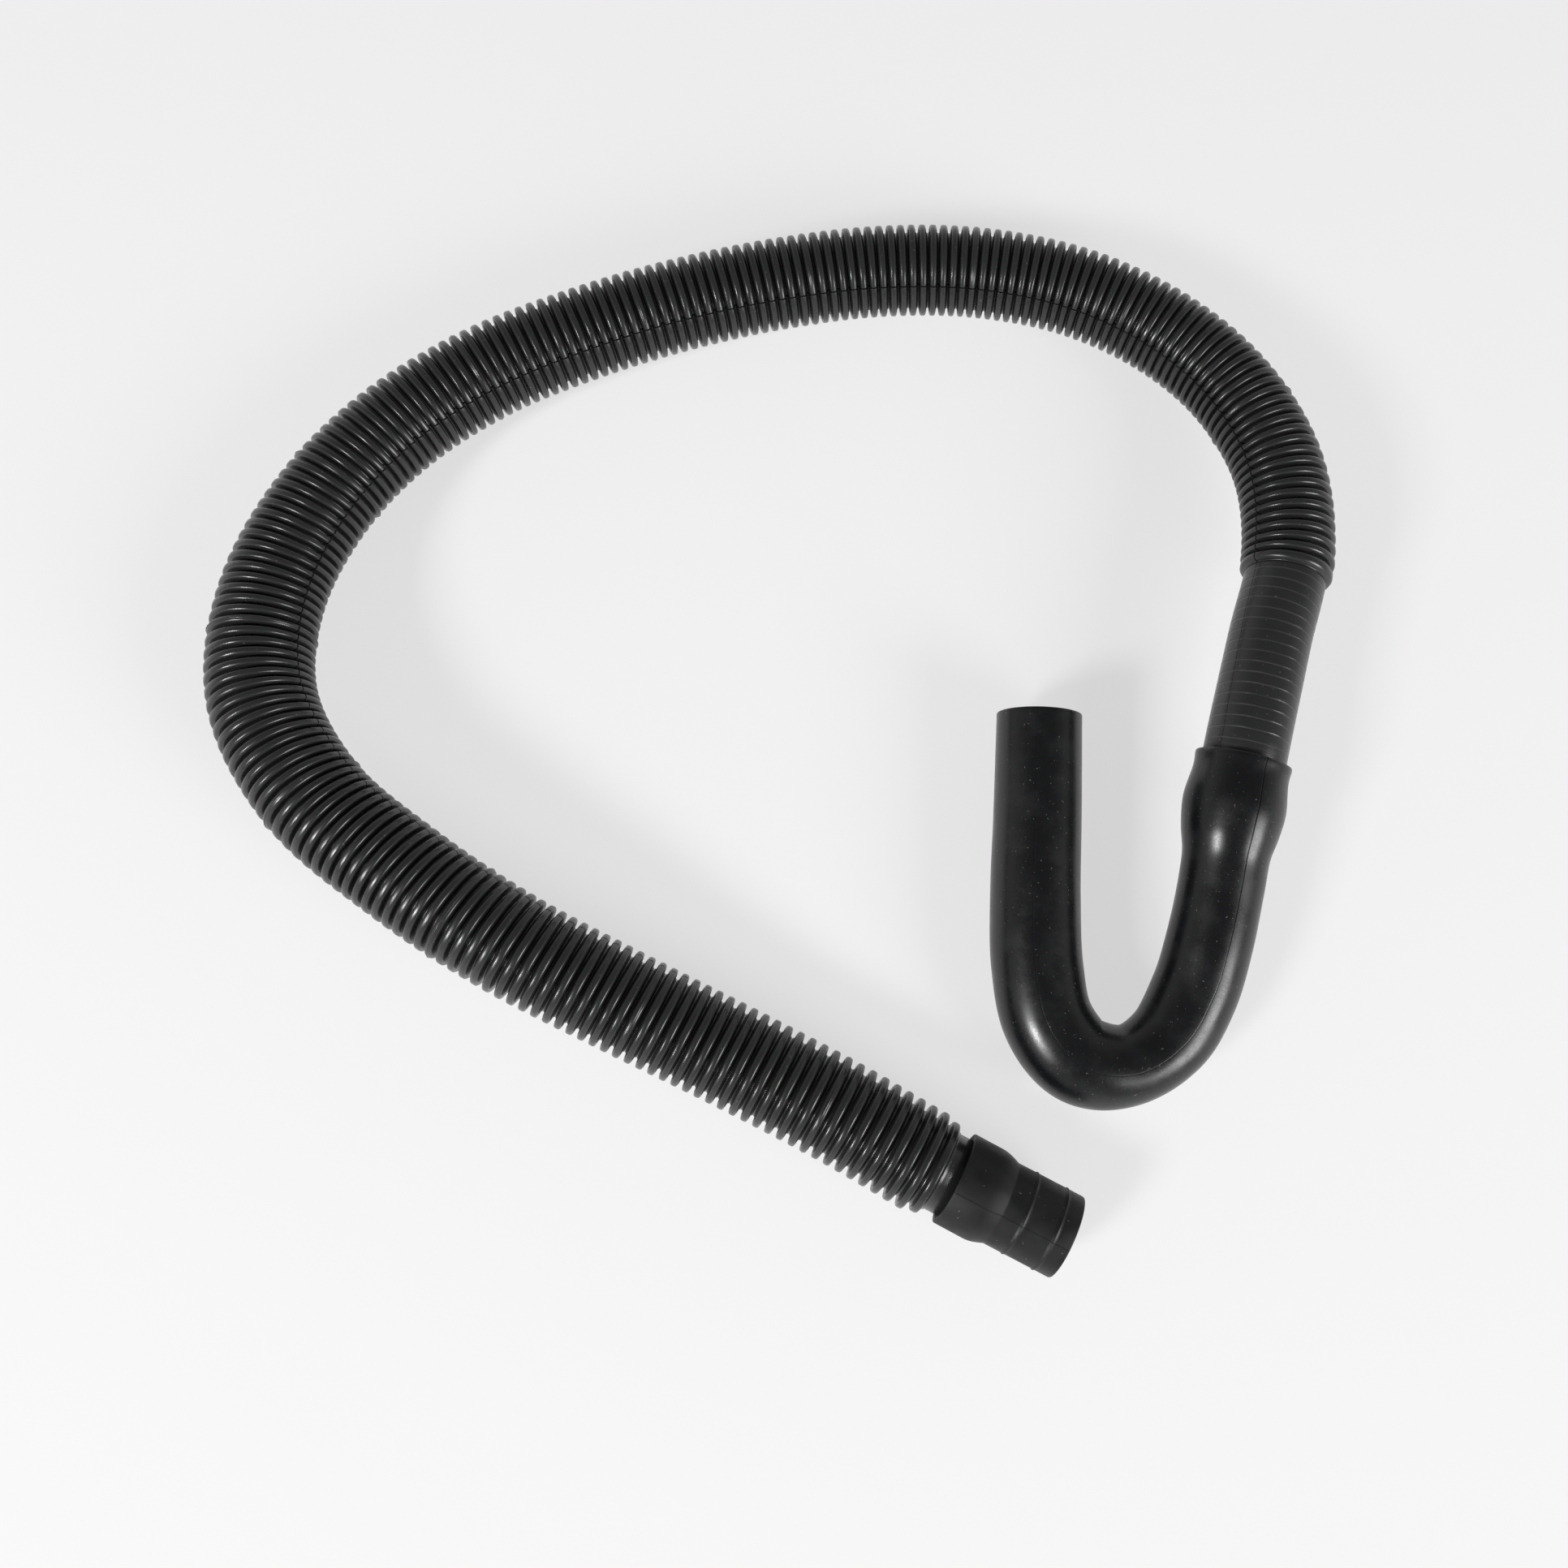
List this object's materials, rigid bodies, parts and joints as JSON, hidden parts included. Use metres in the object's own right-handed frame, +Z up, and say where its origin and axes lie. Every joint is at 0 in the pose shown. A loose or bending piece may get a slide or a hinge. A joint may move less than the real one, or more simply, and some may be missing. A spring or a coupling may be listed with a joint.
{
  "type": "washing machine drain hose",
  "caption": "Corrugated drain hose that carries a washing machine's water from a rubber cuff on the pump's spout to a rubber hook that hangs in a standpipe or sink",
  "frame": {"origin": "on the table under the middle of the laid-out hose's outline", "axes": "+Z up from the table; seen from above, +Y is the way from the hook's bend to the top of the loop, and +X is the side that the hook lies on"},
  "size_m": [0.407, 0.3974, 0.0521],
  "materials": {
    "corrugated_hose": "satin black blow-moulded polyethylene",
    "rubber_hook": "smooth black moulded rubber with a soft sheen",
    "pump_cuff": "matte black moulded rubber"
  },
  "bodies": {
    "root": {"corrugated_hose": "corrugated_hose", "rubber_hook": "rubber_hook", "pump_cuff": "pump_cuff"}
  },
  "joints": []
}
